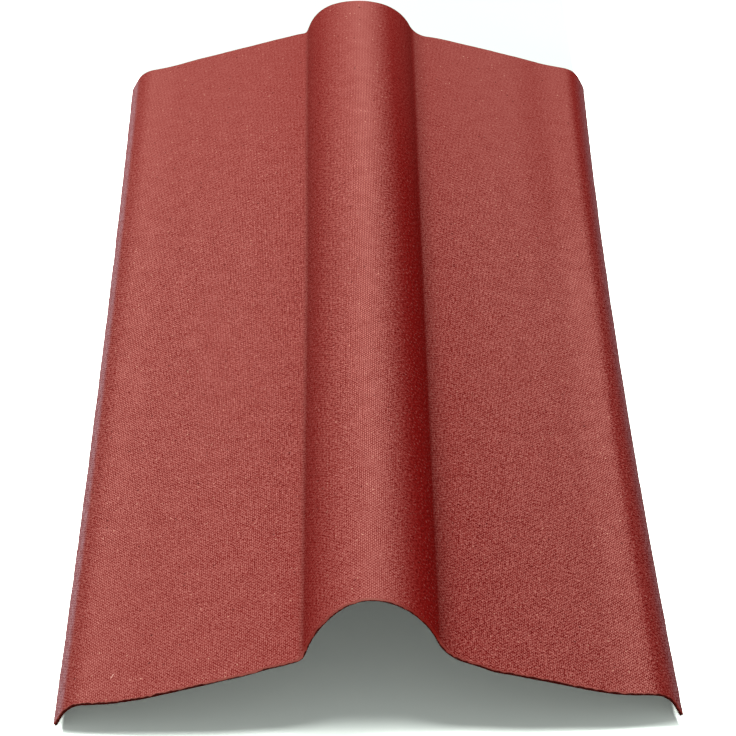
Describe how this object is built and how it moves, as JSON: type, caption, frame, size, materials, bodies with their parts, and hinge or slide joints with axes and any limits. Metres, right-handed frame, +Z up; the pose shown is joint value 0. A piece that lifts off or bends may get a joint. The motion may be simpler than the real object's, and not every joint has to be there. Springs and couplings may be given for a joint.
{
  "type": "ridge cap",
  "caption": "Roof ridge cap pressed from bituminised fibre board: a round hump along the ridge, two sloping wings and turned-down lips.",
  "frame": {"origin": "middle of the piece in plan, on the level floor that its two lips stand on", "axes": "+Y along the ridge, +X across it towards the right wing, +Z up; the two ends are alike"},
  "size_m": [0.49, 1, 0.1146],
  "materials": {
    "bitumen_board": "matte"
  },
  "bodies": {
    "root": {"ridge_cap": "bitumen_board"}
  },
  "joints": []
}
